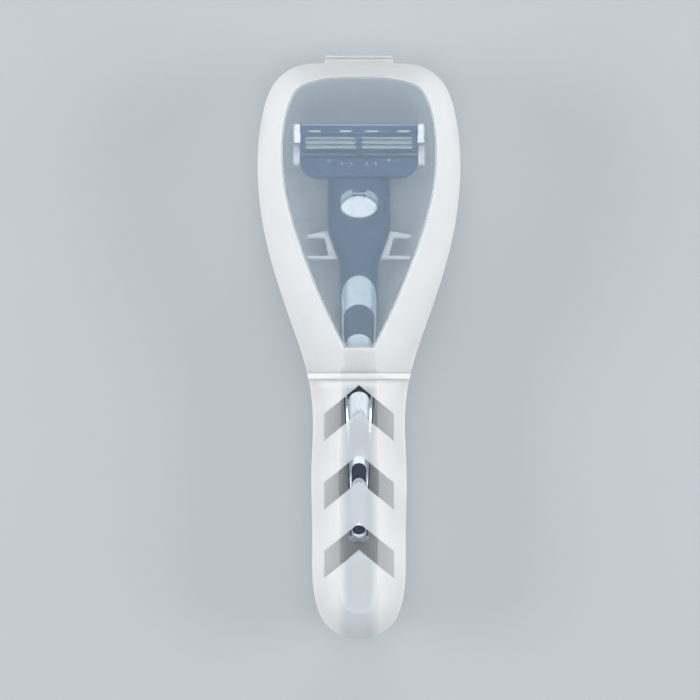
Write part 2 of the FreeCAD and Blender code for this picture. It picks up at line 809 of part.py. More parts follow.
stem_slot = block("stem_slot", ("-(stem_width) / 2 - slide_gap", "stem_width / 2 + slide_gap"),
                  ("button_at - stem_length / 2 - slide_gap",
                   "button_at + stem_length / 2 + button_travel + slide_gap"), ("neck_floor", "head_depth"))
piece(cut("bezel_open", button_track("bezel_plate", "button_clear - fit_gap", "bezel_low", "bezel_high"),
          stem_slot), "button_bezel")


# Sketched pieces
def body(label):
    obj = doc.addObject("PartDesign::Body", label + "_body")
    return obj


def sketch(owner, name, plane, height):
    obj = owner.newObject("Sketcher::SketchObject", name)
    support = [item for item in owner.Origin.OriginFeatures if item.Name.startswith(plane)][0]
    obj.AttachmentSupport = [(support, "")]
    obj.MapMode = "FlatFace"
    bind(obj, AttachmentOffset__Base__z=height)
    return obj


def pad(owner, name, profile, length, reverse=False):
    obj = owner.newObject("PartDesign::Pad", name)
    obj.Profile = profile
    obj.Reversed = reverse
    return bind(obj, Length=length)


def pocket(owner, name, profile, length, reverse=False):
    obj = owner.newObject("PartDesign::Pocket", name)
    obj.Profile = profile
    obj.Reversed = reverse
    return bind(obj, Length=length)


def round_edges(owner, name, feature, radius, test):
    doc.recompute()
    picked = []
    for index, edge in enumerate(feature.Shape.Edges, 1):
        if test(edge):
            picked.append("Edge%d" % index)
    obj = owner.newObject("PartDesign::Fillet", name)
    obj.Base = (feature, picked)
    return bind(obj, Radius=radius)


def rectangle(profile, x, y):
    """A rectangle whose four sides are held at named distances from the sketch's origin."""
    (x0, x1), (y0, y1) = [[num(text) for text in pair] for pair in (x, y)]
    corners = [Vector(x0, y0, 0), Vector(x1, y0, 0), Vector(x1, y1, 0), Vector(x0, y1, 0)]
    first = profile.GeometryCount
    for a, b in zip(corners, corners[1:] + corners[:1]):
        profile.addGeometry(Part.LineSegment(a, b))
    for index in range(4):
        profile.addConstraint(Sketcher.Constraint("Coincident", first + index, 2, first + (index + 1) % 4, 1))
        level = "Horizontal" if index % 2 == 0 else "Vertical"
        profile.addConstraint(Sketcher.Constraint(level, first + index))
    for corner, pair in ((0, (x[0], y[0])), (2, (x[1], y[1]))):
        for kind, text in zip(("DistanceX", "DistanceY"), pair):
            place_at = profile.addConstraint(Sketcher.Constraint(kind, -1, 1, first + corner, 1, num(text)))
            profile.setExpression("Constraints[%d]" % place_at, ex(text))


def top_edges(level):
    return lambda edge: all(abs(vertex.Z - level) < 0.001 for vertex in edge.Vertexes)


button = body("release_button")
oval = sketch(button, "button_oval", "XY_Plane", "button_low")
button_centre = Vector(0, num("button_at"), 0)
oval.addGeometry(Part.Ellipse(button_centre + Vector(num("button_width / 2"), 0, 0),
                              button_centre + Vector(0, num("button_length / 2"), 0), button_centre))
button_pad = pad(button, "button_pad", oval, "button_rise")
button_top = num("button_low + button_rise")
round_edges(button, "button_round_edge", button_pad, "button_round", top_edges(button_top))
stem = sketch(button, "button_stem", "XY_Plane", "bridge_high")
rectangle(stem, ("-(stem_width) / 2", "stem_width / 2"),
          ("button_at - stem_length / 2", "button_at + stem_length / 2"))
pad(button, "button_stem_pad", stem, "button_low - (bridge_high)")
piece(button, "release_button")

fork = body("pusher")
bridge = sketch(fork, "fork_bridge", "XY_Plane", "bridge_low")
rectangle(bridge, ("-(prong_outer)", "prong_outer"), ("bridge_rear", "bridge_front"))
pad(fork, "fork_bridge_pad", bridge, "bridge_thick")
for side, a, b in (("left", "-(prong_outer)", "-(prong_inner)"), ("right", "prong_inner", "prong_outer")):
    prong = sketch(fork, "fork_prong_" + side, "XY_Plane", "prong_low")
    rectangle(prong, (a, b), ("bridge_rear", "prong_tip"))
    pad(fork, "fork_prong_pad_" + side, prong, "prong_thick")
piece(fork, "pusher")

# Plunger and the two coil springs
pin = rod("plunger_pin", "plunger_radius", "Y", ("0", "flange_rear", "plunger_height"),
          "plunger_centre - (flange_rear)")
tip = ball("plunger_tip", "plunger_radius", ("0", "plunger_centre", "plunger_height"))
flange = rod("plunger_flange", "flange_radius", "Y", ("0", "flange_rear", "plunger_height"), "flange_thick")
piece(fuse("plunger_joined", pin, tip, flange), "plunger")


def coil(label, radius, start, end, height):
    length = "((%s) - (%s))" % (end, start)
    path = doc.addObject("Part::Helix", label + "_path")
    bind(path, Radius=radius, Height=length + " - 2 * spring_wire")
    bind(path, Pitch="(%s - 2 * spring_wire) / spring_turns" % length)
    wire = doc.addObject("Part::Circle", label + "_wire")
    wire.Placement = Placement(Vector(), Rotation(Vector(1, 0, 0), 90))
    bind(wire, Radius="spring_wire", Placement__Base__x=radius)
    obj = doc.addObject("Part::Sweep", label + "_coil")
    obj.Sections = [wire]
    obj.Spine = (path, ["Edge1"])
    obj.Solid = True
    obj.Frenet = True
    obj.Placement = Placement(Vector(), Rotation(Vector(1, 0, 0), -90))
    return place(obj, "0", "(%s) + spring_wire" % start, height)


def spring(label, radius, start, end, height):
    piece(coil(label, radius, start, end, height), label)


spring("plunger_spring", "plunger_coil", "flange_rear - plunger_spring_length", "flange_rear",
       "plunger_height")
spring("button_spring", "button_coil", "bridge_front", "bay_front", "bridge_low + bridge_thick / 2")


# Grip inlays: a bright spine on the front of the rod with arched pads let into it
SIDE_STEPS = 6
SIDE_POINTS = 90
doc.recompute()


def handle_half(station):
    """Half the width of the rod at a station."""
    inside = max(station, num("tail_end + fit_gap"))
    points = []
    for wire in rod_form.Shape.slice(Vector(0, 1, 0), inside):
        points += wire.discretize(Number=SIDE_POINTS)
    return max(point.x for point in points)


def arch(apex, margin):
    """A bow across the handle with its crown at a station, and where its feet stand."""
    share = num("arch_share")
    half = handle_half(apex - share * handle_half(apex)) - margin
    foot = apex - half * share
    bow = Part.Arc(Vector(-half, foot, 0), Vector(0, apex, 0), Vector(half, foot, 0))
    return bow.toShape(), half, foot


def crest(apex, margin):
    """The tall half oval at the front end of the spine, and where its feet stand."""
    share = num("crest_share")
    half = handle_half(apex - share * handle_half(apex)) - margin
    foot = apex - half * share
    oval = Part.Ellipse(Vector(0, apex, 0), Vector(half, foot, 0), Vector(0, foot, 0))
    return Part.ArcOfEllipse(oval, -math.pi / 2, math.pi / 2).toShape(), half, foot


def arched_plan(upper, lower, margin):
    """Plan of an inlay between two stations: arched at the top, and arched or straight at the bottom."""
    top, top_half, top_foot = arch(upper, margin) if lower is not None else crest(upper, margin)
    if lower is None:
        low_foot = num("tail_end")
        low_half = handle_half(low_foot) - margin
        bottom = Part.makeLine(Vector(-low_half, low_foot, 0), Vector(low_half, low_foot, 0))
    else:
        bottom, low_half, low_foot = arch(lower, margin)
    run = [(low_half, low_foot)]
    for step in range(1, SIDE_STEPS):
        station = low_foot + (top_foot - low_foot) * step / SIDE_STEPS
        run.append((handle_half(station) - margin, station))
    run.append((top_half, top_foot))
    edges = [top, bottom]
    for hand in (-1, 1):
        side = [Vector(hand * half, station, 0) for half, station in run]
        edges += [Part.makeLine(a, b) for a, b in zip(side, side[1:])]
    return edges


inlay_gap = num("inlay_gap")
rod_skin = handle_form("rod_skin", ROD, inlay_gap)


def inlay(name, edges, thick):
    """Skin of a given thickness on the front of the rod, within a plan."""
    outline = sheet_wire(name + "_outline", edges, "handle_height")
    plan = lift(name + "_plan", outline, "handle_height", "head_depth")
    outside = handle_form(name + "_outside", ROD, inlay_gap + thick)
    return cut(name, common(name + "_solid", outside, plan), rod_skin)


spine_thick, pad_thick = num("spine_thick"), num("pad_thick")
spine_top = num("spine_top")
pads = []
for index in range(3):
    upper = spine_top - index * num("pad_pitch") - num("pad_offset")
    pads.append((upper, upper - num("pad_length")))
upper = spine_top - len(pads) * num("pad_pitch") - num("last_offset")
pads.append((upper, upper - num("last_length")))

windows = []
for index, (upper, lower) in enumerate(pads, 1):
    plan = sheet_wire("pad_plan_%d" % index, arched_plan(upper, lower, num("pad_margin")), "handle_height")
    window = doc.addObject("Part::Offset2D", "pad_window_plan_%d" % index)
    window.Source = plan
    bind(window, Value="pad_groove")
    windows.append(lift("pad_window_%d" % index, window, "handle_height", "head_depth"))
tail_pad_at = "(tail_end + tail_pad_set + tail_pad_length / 2)"
tail_pad_width = "%.4f" % (2 * (handle_half(num(tail_pad_at)) - num("tail_pad_margin")))
tail_hole = drum("tail_hole", tail_pad_width + " + 2 * pad_groove", "tail_pad_length + 2 * pad_groove",
                 tail_pad_at, "handle_height - tail_drop", "head_depth")
spine = cut("spine_open", inlay("spine", arched_plan(spine_top, None, num("spine_margin")), spine_thick),
            *windows, tail_hole)
piece(spine, "chrome_spine")
for index, (upper, lower) in enumerate(pads, 1):
    rubber = inlay("pad_%d" % index, arched_plan(upper, lower, num("pad_margin")), pad_thick)
    piece(rubber, "grip_pad_%d" % index)

tail_post = drum("tail_post", tail_pad_width, "tail_pad_length", tail_pad_at,
                 "handle_height - tail_drop", "head_depth")
tail_skin = handle_form("tail_skin", ROD, inlay_gap + pad_thick)
piece(cut("tail_pad_cut", common("tail_pad_solid", tail_skin, tail_post), rod_skin), "tail_pad")

end_form = doc.addObject("Part::Ellipsoid", "end_form")
bind(end_form, Radius1="tail_thick / 2 + spine_thick", Radius2="tail_width / 2 + spine_thick",
     Radius3="tail_cap_length")
end_form.Angle1 = -90
end_form.Angle2 = 90
place(end_form, "0", "tail_end", "handle_height - tail_drop")
end_zone = block("end_zone", SIDES, ("tail_end - 2 * tail_cap_length", "tail_end - fit_gap"),
                 ("0", "head_depth"))
piece(common("end_half", end_form, end_zone), "tail_cap")

# Connector with a tunnel for the nose and pockets for the prongs
yoke = body("connector")
yoke_plan = sketch(yoke, "yoke_plan", "XY_Plane", "connector_floor")
rectangle(yoke_plan, ("-(connector_side)", "connector_side"), ("connector_rear", "connector_front"))
yoke_pad = pad(yoke, "yoke_pad", yoke_plan, "connector_top - (connector_floor)")
rear_at = num("connector_rear")
corners = round_edges(yoke, "yoke_corners", yoke_pad, "connector_corner",
                      lambda edge: abs(edge.Length - num("connector_top - (connector_floor)")) < 0.001
                      and abs(edge.CenterOfMass.y - rear_at) < 0.001)
doc.recompute()
softened = round_edges(yoke, "yoke_round", corners, "connector_round", top_edges(num("connector_top")))
tunnel = sketch(yoke, "yoke_tunnel", "XZ_Plane", "-(connector_front)")
rectangle(tunnel, ("-(nose_width) / 2 - slide_gap", "nose_width / 2 + slide_gap"),
          ("nose_low - slide_gap", "nose_high + slide_gap"))
pocket(yoke, "yoke_tunnel_cut", tunnel, "2 * connector_rear_back").Midplane = True
for side, a, b in (("left", "-(prong_outer) - slide_gap", "-(prong_inner) + slide_gap"),
                   ("right", "prong_inner - slide_gap", "prong_outer + slide_gap")):
    prong_seat = sketch(yoke, "yoke_seat_" + side, "XZ_Plane", "-(connector_rear)")
    rectangle(prong_seat, (a, b), ("prong_low - slide_gap", "prong_high + slide_gap"))
    pocket(yoke, "yoke_seat_cut_" + side, prong_seat, "2 * pocket_depth").Midplane = True
piece(yoke, "connector")

# Arms at the connector's ends, and the pins they carry
for side, low, high in (("left", "-(connector_side) - arm_width", "-(connector_side)"),
                        ("right", "connector_side", "connector_side + arm_width")):
    bar = block("arm_bar_" + side, (low, high), ("arm_rear", "pivot_at"),
                ("pivot_height - arm_radius", "pivot_height + arm_radius"))
    end = rod("arm_end_" + side, "arm_radius", "X", (low, "pivot_at", "pivot_height"), "arm_width")
    heel = rod("arm_heel_" + side, "arm_radius", "X", (low, "arm_rear", "pivot_height"), "arm_width")
    hole = rod("arm_hole_" + side, "pin_radius", "X", (low, "pivot_at", "pivot_height"), "arm_width")
    piece(cut("arm_drilled_" + side, fuse("arm_joined_" + side, bar, end, heel), hole), "pivot_arm_" + side)
for side, start in (("left", "-(connector_side) - arm_width + pin_head"),
                    ("right", "frame_side - pin_depth")):
    piece(rod("pin_" + side, "pin_radius", "X", (start, "pivot_at", "pivot_height"),
              "connector_side + arm_width - pin_head - frame_side + pin_depth"), "pivot_pin_" + side)

# Blade unit
frame = body("blade_frame")
frame_plan = sketch(frame, "frame_plan", "XY_Plane", "frame_floor")
rectangle(frame_plan, ("-(frame_side)", "frame_side"), ("pivot_at - frame_front", "pivot_at + frame_reach"))
pad(frame, "frame_pad", frame_plan, "frame_top - (frame_floor)")
cap_plan = sketch(frame, "frame_cap", "XY_Plane", "frame_floor")
rectangle(cap_plan, ("-(frame_side)", "frame_side"), ("pivot_at + cap_start", "pivot_at + frame_reach"))
cap_pad = pad(frame, "frame_cap_pad", cap_plan, "cap_top - (frame_floor)")
back_at = num("pivot_at + frame_reach")
round_edges(frame, "frame_back_edge", cap_pad, "frame_round",
            lambda edge: edge.Length > 30 and abs(edge.CenterOfMass.y - back_at) < 0.001)
window_plan = sketch(frame, "frame_window", "XY_Plane", "frame_floor")
rectangle(window_plan, ("-(window_half)", "window_half"), ("pivot_at + bay_start", "pivot_at + bay_end"))
pocket(frame, "frame_window_cut", window_plan, "4 * frame_high").Midplane = True
guard_plan = sketch(frame, "frame_guard", "XY_Plane", "guard_floor")
rectangle(guard_plan, ("-(window_half)", "window_half"), ("pivot_at + guard_start", "pivot_at + guard_end"))
pocket(frame, "frame_guard_cut", guard_plan, "frame_high", reverse=True)
strip_plan = sketch(frame, "frame_strip", "XY_Plane", "frame_floor")
rectangle(strip_plan, ("-(window_half)", "window_half"), ("pivot_at + strip_start", "pivot_at + strip_end"))
pocket(frame, "frame_strip_cut", strip_plan, "strip_top - (frame_floor)", reverse=True)
dash_plan = sketch(frame, "frame_dashes", "XY_Plane", "strip_floor")
for centre in ("-(dash_outer)", "-(dash_inner)", "dash_inner", "dash_outer"):
    rectangle(dash_plan, (centre + " - dash_length / 2", centre + " + dash_length / 2"),
              ("pivot_at + (strip_start + strip_end - dash_width) / 2",
               "pivot_at + (strip_start + strip_end + dash_width) / 2"))
pocket(frame, "frame_dash_cut", dash_plan, "frame_high", reverse=True)
rib_plan = sketch(frame, "frame_rib", "XY_Plane", "rib_floor")
rectangle(rib_plan, ("-(rib_width) / 2", "rib_width / 2"),
          ("pivot_at + guard_end", "pivot_at + (cap_start + strip_start) / 2"))
pad(frame, "frame_rib_pad", rib_plan, "rib_thick")
cam_plan = sketch(frame, "frame_cam", "XY_Plane", "cam_floor")
rectangle(cam_plan, ("-(cam_width) / 2", "cam_width / 2"), ("pivot_at", "pivot_at + cam_thick"))
pad(frame, "frame_cam_pad", cam_plan, "frame_floor - (cam_floor) + guard_seat")
root_plan = sketch(frame, "frame_cam_root", "XY_Plane", "frame_floor")
rectangle(root_plan, ("-(cam_width) / 2", "cam_width / 2"),
          ("pivot_at - frame_front", "pivot_at + cam_thick"))
pad(frame, "frame_cam_root_pad", root_plan, "guard_seat")
frame_parts = [frame]
for side, low in (("left", "-(frame_side)"), ("right", "frame_side - lug_width")):
    high = low + " + lug_width"
    frame_parts.append(rod("lug_" + side, "arm_radius", "X", (low, "pivot_at", "pivot_height"), "lug_width"))
    frame_parts.append(block("lug_web_" + side, (low, high),
                             ("pivot_at - arm_radius", "pivot_at + arm_radius"),
                             ("pivot_height", "frame_floor + frame_round")))
pin_way = rod("pin_way", "pin_radius + pin_fit", "X", ("-(frame_side)", "pivot_at", "pivot_height"),
              "frame_width")
piece(cut("frame_drilled", fuse("frame_joined", *frame_parts), pin_way), "blade_frame")


def upright_prism(name, points, x_low, x_high):
    """Prism along X from a section given as distances from the pivot along Y and heights."""
    y0, x0 = num("pivot_at"), num(x_low)
    corners = [Vector(x0, y0 + y, z) for y, z in points]
    edges = [Part.makeLine(a, b) for a, b in zip(corners, corners[1:] + corners[:1])]
    wire = doc.addObject("Part::Feature", name + "_section")
    wire.Shape = Part.Wire(edges)
    obj = doc.addObject("Part::Extrusion", name)
    obj.Base = wire
    obj.DirMode = "Custom"
    obj.Dir = Vector(1, 0, 0)
    obj.Solid = True
    return bind(obj, LengthFwd="(%s) - (%s)" % (x_high, x_low))


blade_top, run, fall = num("blade_top"), num("blade_run"), num("blade_fall")
thick, blade_leg = num("blade_thick"), num("blade_leg")
for index in range(3):
    edge_at = num("blade_first") + index * num("blade_pitch")
    back, foot = edge_at + run, blade_top - fall - blade_leg
    blade = [(edge_at, blade_top), (back, blade_top - fall), (back, foot), (back - thick, foot),
             (back - thick, blade_top - fall - thick)]
    strip = upright_prism("edge_%d" % (index + 1), blade, "-(window_half)", "window_half")
    piece(strip, "blade_%d" % (index + 1))

guard_low, guard_high = num("guard_floor"), num("frame_top")
guard_from, guard_to = num("guard_start"), num("guard_end")
fin, fin_pitch, fin_top = num("guard_fin"), num("fin_pitch"), guard_high + num("fin_rise")
guard = [(guard_from, guard_low), (guard_to, guard_low), (guard_to, guard_high)]
for index in range(int((guard_to - guard_from) / fin_pitch)):
    root = guard_to - fin / 2 - index * fin_pitch
    guard += [(root, guard_high), (root, fin_top), (root - fin, fin_top), (root - fin, guard_high)]
guard.append((guard_from, guard_high))
piece(upright_prism("guard", guard, "-(window_half)", "window_half"), "guard_strip")
piece(block("strip", ("-(window_half)", "window_half"), ("pivot_at + strip_start", "pivot_at + strip_end"),
            ("strip_floor", "strip_top")), "lubricating_strip")

for side, low, high in (("left", "-(frame_side) - clip_width", "-(frame_side)"),
                        ("right", "frame_side", "frame_side + clip_width")):
    clip = body("end_clip_" + side)
    clip_plan = sketch(clip, "clip_plan_" + side, "XY_Plane", "pivot_height + clip_low")
    rectangle(clip_plan, (low, high), ("pivot_at + clip_start", "pivot_at + clip_end"))
    clip_pad = pad(clip, "clip_pad_" + side, clip_plan, "clip_high - clip_low")
    outside = max(abs(num(low)), abs(num(high)))
    round_edges(clip, "clip_round_" + side, clip_pad, "clip_round",
                lambda edge: abs(abs(edge.CenterOfMass.x) - outside) < 0.001)
    piece(clip, "end_clip_" + side)

doc.recompute()
faults = []
for obj in doc.Objects:
    if "Invalid" in obj.State or "Error" in obj.State:
        faults.append("%s is %s" % (obj.Name, obj.State))
for obj in PIECES:
    shape = obj.Shape
    if shape.isNull() or not shape.isValid() or not shape.Solids:
        faults.append("%s has no valid solid" % obj.Label)
if faults:
    raise RuntimeError("; ".join(faults))
for obj in PIECES:
    obj.Shape.exportStep("parts/%s.step" % obj.Label)
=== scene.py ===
import math

import bmesh
import bpy
from bpy.props import FloatProperty, FloatVectorProperty, PointerProperty
from mathutils import Matrix, Vector


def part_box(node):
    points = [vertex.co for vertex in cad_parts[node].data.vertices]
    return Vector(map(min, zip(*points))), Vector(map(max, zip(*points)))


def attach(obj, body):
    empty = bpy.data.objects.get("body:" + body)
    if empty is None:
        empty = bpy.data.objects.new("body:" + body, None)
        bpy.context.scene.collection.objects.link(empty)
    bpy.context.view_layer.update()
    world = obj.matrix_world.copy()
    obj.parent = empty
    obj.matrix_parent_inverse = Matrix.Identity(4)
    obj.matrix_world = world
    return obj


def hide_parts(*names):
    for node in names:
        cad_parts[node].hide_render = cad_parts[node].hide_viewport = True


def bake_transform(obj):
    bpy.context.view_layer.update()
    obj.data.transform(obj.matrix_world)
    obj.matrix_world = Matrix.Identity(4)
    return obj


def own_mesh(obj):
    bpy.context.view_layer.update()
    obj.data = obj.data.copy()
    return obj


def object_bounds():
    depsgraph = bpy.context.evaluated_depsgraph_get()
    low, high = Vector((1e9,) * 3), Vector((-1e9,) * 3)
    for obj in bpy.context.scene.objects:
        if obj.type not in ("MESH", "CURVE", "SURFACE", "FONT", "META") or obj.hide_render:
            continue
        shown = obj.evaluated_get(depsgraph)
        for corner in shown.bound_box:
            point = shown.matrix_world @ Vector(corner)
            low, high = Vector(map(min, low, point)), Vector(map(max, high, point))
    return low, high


bl_info = {
    "name": "Travel razor case",
    "version": (1, 0, 0),
    "blender": (4, 5, 0),
    "location": "3D View > Sidebar > Razor case",
    "description": "Dresses a frosted travel case and the razor in it, and sets up a plain studio",
    "category": "Object",
}

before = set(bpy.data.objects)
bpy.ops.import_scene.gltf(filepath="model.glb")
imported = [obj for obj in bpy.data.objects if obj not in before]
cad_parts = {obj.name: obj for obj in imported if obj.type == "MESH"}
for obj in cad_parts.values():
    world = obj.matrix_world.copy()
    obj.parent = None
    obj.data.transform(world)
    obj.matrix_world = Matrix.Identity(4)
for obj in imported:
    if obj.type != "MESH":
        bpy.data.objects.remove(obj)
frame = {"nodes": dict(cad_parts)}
CAD_BOX = [list(corner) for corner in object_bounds()]
MM = 0.001
MERGE = 0.001 * MM                                  # points closer than this are one point
SHARP = math.radians(35)                            # edges sharper than this stay crisp
COLOUR_A, COLOUR_B, COLOUR_OUT = 6, 7, 2            # the colour sockets of a Mix node
POLYPROPYLENE_IOR, ABS_IOR, RUBBER_IOR = 1.49, 1.53, 1.5

# How far light spreads inside each frosted wall.
BACK_GLOW, SLEEVE_GLOW, LID_GLOW, RIM_GLOW, CLEAR_GLOW = 9 * MM, 5 * MM, 4 * MM, 1 * MM, 0.5 * MM
STRIP_TOP, STRIP_FULL = -11.4 * MM, -13.4 * MM      # the sleeve's thinner haze starts below the seam
STRIP_EDGE, STRIP_CORE = 7 * MM, 3 * MM             # and fades out to both sides
BACK_WALL, BACK_FLAT = 2.2 * MM, 1.6 * MM           # heights between which the tray's wall turns into its flat back
HAZE_FROM, HAZE_TO = -14 * MM, 4 * MM               # where the flat back clears, along the case
GLOW_FROM, GLOW_TO = 2 * MM, 16 * MM                # where its glow ends, along the case
PANE_LEVEL, LEVEL_BLUR = 26 * MM, 0.3 * MM          # the window lies above this height
EDGE_HIGHLIGHT_FROM, EDGE_HIGHLIGHT_TO = 27.3 * MM, 27.9 * MM          # a painted highlight: the lid hides more, and so reads brighter, between these heights along the window's edge
SLOPE_FACING, FLAT_FACING = 0.975, 0.99             # how level a face is where the window begins

SPRING_TURNS, STEPS_PER_TURN, WIRE_SIDES = 7, 20, 10
PIP_PLACES = ((9.4, 1.5), (5.3, 2.6), (2.4, 2.6))   # millimetres aside and behind the connector's front edge
BEAD_END, BEAD_BACK, BEAD_SINK = 0.8 * MM, 0.45 * MM, 0.05 * MM
STRAP_SLACK, STRAP_TAIL, FOLD_STEPS = 0.01 * MM, 0.2 * MM, 14

FLOOR_HALF, FLOOR_DROP = 3.0, 0.3 * MM
LAMP_SPREAD = math.radians(60)
RIM_LEVEL = 15 * MM                                 # the height that the camera's distance is taken from
CAMERA_ASIDE, CAMERA_DOWN = -2.8 * MM, -0.9 * MM
SENSOR = 36.0


def linear(code):
    """A colour written as sRGB hex, in the linear values that Blender works with."""
    parts = [int(code[i:i + 2], 16) / 255 for i in (0, 2, 4)]
    return [p / 12.92 if p <= 0.04045 else ((p + 0.055) / 1.055) ** 2.4 for p in parts] + [1.0]


def colour(code, name, description):
    return FloatVectorProperty(name=name, description=description, subtype="COLOR", size=4,
                               min=0.0, max=1.0, default=linear(code))


def share(value, name, description):
    return FloatProperty(name=name, description=description, subtype="FACTOR",
                         min=0.0, max=1.0, default=value)


def power(value, name, description):
    return FloatProperty(name=name, description=description, unit="POWER", min=0.0, default=value)


def length(value, name, description):
    return FloatProperty(name=name, description=description, unit="LENGTH", min=0.0, precision=5,
                         default=value * MM)


class CaseLook(bpy.types.PropertyGroup):
    """The frosted case."""
    front: colour("F9FCFE", "Front plastic", "Frosted plastic of the sleeve and of the lid's sloping sides")
    pane: colour("C3DDFC", "Window plastic", "Polished plastic of the lid's flat window")
    # The strip's bluer, darker colour is the plastic's faint blue plus painted shade of the dim inside seen through
    # the thin wall.
    strip: colour("E2EDF9", "Strip plastic",
                  "Plastic of the sleeve's flat strip, where the wall lets more light through")
    back: colour("FBFDFE", "Back plastic", "Frosted plastic of the tray behind the razor")
    sleeve_cover_share: share(0.92, "Sleeve haze", "How much one face of the sleeve's wall hides")
    slope_cover_share: share(0.8, "Slope haze", "How much one face of the lid's sloping wall hides")
    pane_cover_share: share(0.145, "Window haze", "How much one face of the window hides")
    strip_cover_share: share(0.62, "Strip haze", "How much one face of the sleeve's flat strip hides")
    # Painted highlight: a denser band just below the window reads as a light line along its edge.
    edge_highlight_cover_share: share(0.85, "Window edge haze", "How much one face of the lid hides around the window")
    back_cover_share: share(0.94, "Back haze", "How much one face of the tray's wall hides")
    floor_cover_share: share(0.5, "Flat back haze",
                             "How much one face of the tray's flat back hides along the handle")
    clear_back_share: share(0.3, "Clear back haze", "How much one face of the tray hides behind the window")
    pane_roughness: share(0.12, "Window polish", "Roughness of the polished window")
    grain: length(0.3, "Grain", "Width of the eroded grain left by the mould")
    strap_slit: length(0.05, "Strap slit", "Half of the slit inside the folded hinge strap")
    rim_width: length(1.6, "Rim width", "Width of the rim along the lid's lower edge")
    rim_reach: length(0.35, "Rim reach", "How far that rim closes the gap to the sleeve")
    rim_proud: length(0.04, "Rim height", "How far that rim stands out of the lid")


class RazorLook(bpy.types.PropertyGroup):
    """The razor that lies in the case."""
    handle: colour("0C2A57", "Handle plastic", "Satin plastic of the handle and neck")
    frame: colour("163A6B", "Blade frame plastic", "Plastic of the connector and of the blade frame")
    rubber: colour("20304A", "Grip rubber", "Satin rubber of the pads")
    guard: colour("20406A", "Guard rubber", "Soft strip before the blades")
    arm: colour("F5F8FA", "Arm plastic", "Pale plastic of the two pivot arms")
    # A painted highlight: the pips and the cap bead are pale so that they read as specks and a line of light.
    pip_and_bead_highlight: colour("9DB0C0", "Pips", "Small pips on the connector and the bead along the cap")
    bezel: colour("B9CDDC", "Bezel paint", "Silver blue paint of the recess behind the button")
    mechanism: colour("54595F", "Mechanism plastic", "Plain moulded pieces inside the neck")
    strip: colour("DCE8EA", "Strip", "Dry lubricating strip")
    chrome: colour("BCC5CC", "Chrome", "Plated spine and tail cap")
    button: colour("E4EAEC", "Button metal", "Satin silver plating of the button")
    steel: colour("C8CFD5", "Blade steel", "Ground stainless strip of the blades")
    clip: colour("F2F4F6", "Clip metal", "Rolled metal of the end clips")
    spring_wire: length(0.15, "Spring wire", "Radius of the wire of both springs")
    pip_radius: length(0.55, "Pip radius", "Radius of the small pips on the connector")
    bead_radius: length(0.3, "Bead radius", "Radius of the bead along the top of the blade unit")
    pip_height: length(0.4, "Pip height", "How far the pips stand out of the connector")


class StageLook(bpy.types.PropertyGroup):
    """The studio."""
    floor: colour("B8BDC1", "Floor", "Plain pale floor")
    zenith: colour("FFFFFF", "Sky overhead", "What faces see straight above")
    horizon: colour("8E9295", "Sky around", "What faces see at the level of the floor")
    sky_strength: FloatProperty(name="Sky strength", description="Level of the light from above", default=1.4)
    lamp_power: power(0.12, "Lamp power", "Power of the lamp beside the camera")
    top_power: power(0.3, "Top power", "Power of the lamp above the hinge")
    side_power: power(0.86, "Side power", "Power of each side lamp")
    camera_height: length(1200.0, "Camera height", "Distance of the camera above the rim")
    frame_width: length(218.75, "Frame width", "Width of floor that the picture shows")


def node(tree, kind, links=None, **settings):
    """Adds a node, sets its properties, and links or sets its inputs."""
    made = tree.nodes.new(kind)
    for key, value in settings.items():
        setattr(made, key, value)
    for key, value in (links or {}).items():
        if isinstance(value, bpy.types.NodeSocket):
            tree.links.new(value, made.inputs[key])
        else:
            made.inputs[key].default_value = value
    return made


def place_on(tree):
    """The place on the piece, in its own coordinates."""
    return next(n for n in tree.nodes if n.type == "TEX_COORD").outputs["Object"]


def finish_of(name):
    """An empty material of that name, with its tree, its shader and the place on the piece."""
    made = bpy.data.materials.new(name)
    made.use_nodes = True
    tree = made.node_tree
    node(tree, "ShaderNodeTexCoord")
    return made, tree, tree.nodes["Principled BSDF"], place_on(tree)


def mottle(tree, place, size, low, high, stretch=(1.0, 1.0, 1.0), detail=3.0):
    """A value that drifts between low and high over about that size, longer where stretch is small."""
    turned = node(tree, "ShaderNodeMapping", {"Vector": place, "Scale": stretch}).outputs["Vector"]
    cloud = node(tree, "ShaderNodeTexNoise", {"Vector": turned, "Scale": 1.0 / size, "Detail": detail})
    # Most of a noise lies between 0.3 and 0.7, which is spread over the whole range here.
    return node(tree, "ShaderNodeMapRange", {"Value": cloud.outputs["Fac"], "From Min": 0.3, "From Max": 0.7,
                                             "To Min": low, "To Max": high}).outputs["Result"]


def shaded(tree, tint, factor):
    """A colour made lighter or darker by a factor that changes over the surface."""
    return node(tree, "ShaderNodeMix", {"Factor": 1.0, COLOUR_A: tint, COLOUR_B: factor},
                data_type="RGBA", blend_type="MULTIPLY").outputs[COLOUR_OUT]


def relief(tree, shader, height, depth, edge):
    """Bumps of that depth in metres on the shader's normal, over edges that look rounded to that radius."""
    rounded = node(tree, "ShaderNodeBevel", {"Radius": edge}, samples=6).outputs["Normal"]
    made = node(tree, "ShaderNodeBump", {"Height": height, "Distance": depth, "Strength": 1.0, "Normal": rounded})
    tree.links.new(made.outputs["Normal"], shader.inputs["Normal"])


